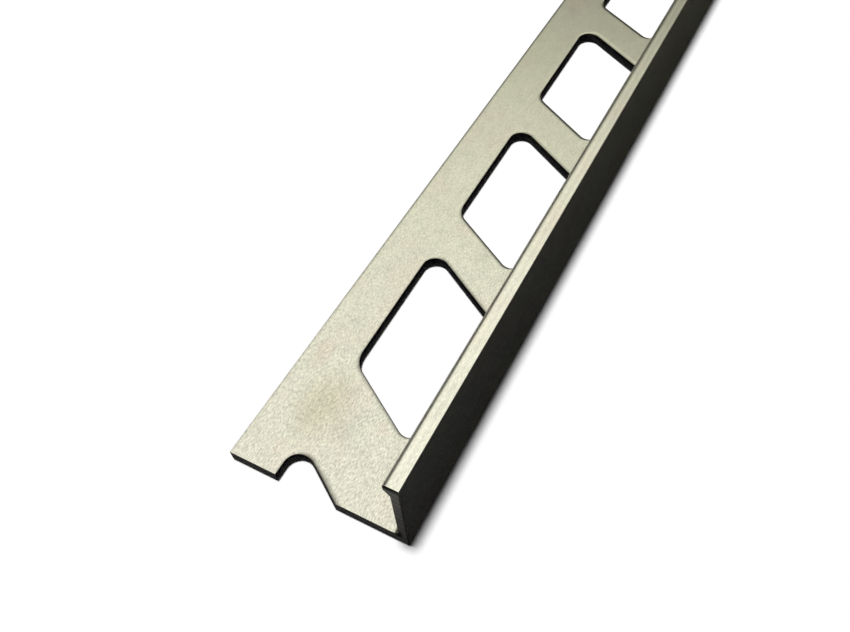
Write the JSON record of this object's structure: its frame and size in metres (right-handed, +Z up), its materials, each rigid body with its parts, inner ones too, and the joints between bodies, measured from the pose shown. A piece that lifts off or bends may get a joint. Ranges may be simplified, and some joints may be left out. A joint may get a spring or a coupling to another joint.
{
  "type": "perforated aluminium angle profile",
  "caption": "Straight L-shaped edge profile for tiles: a flat anchoring leg with a row of slanted windows, an upright wall, and a lip turned in over the leg.",
  "frame": {"origin": "centre of the underside, halfway along the profile", "axes": "+X from the leg's free edge to the wall's outer face, +Y along the profile from the sawn end that runs through a window, +Z up"},
  "size_m": [0.0226, 1, 0.0125],
  "materials": {
    "anodised_aluminium": "satin anodised in a pale champagne tone, fine lengthwise brush grain"
  },
  "bodies": {
    "root": {"angle_profile": "anodised_aluminium"}
  },
  "joints": []
}
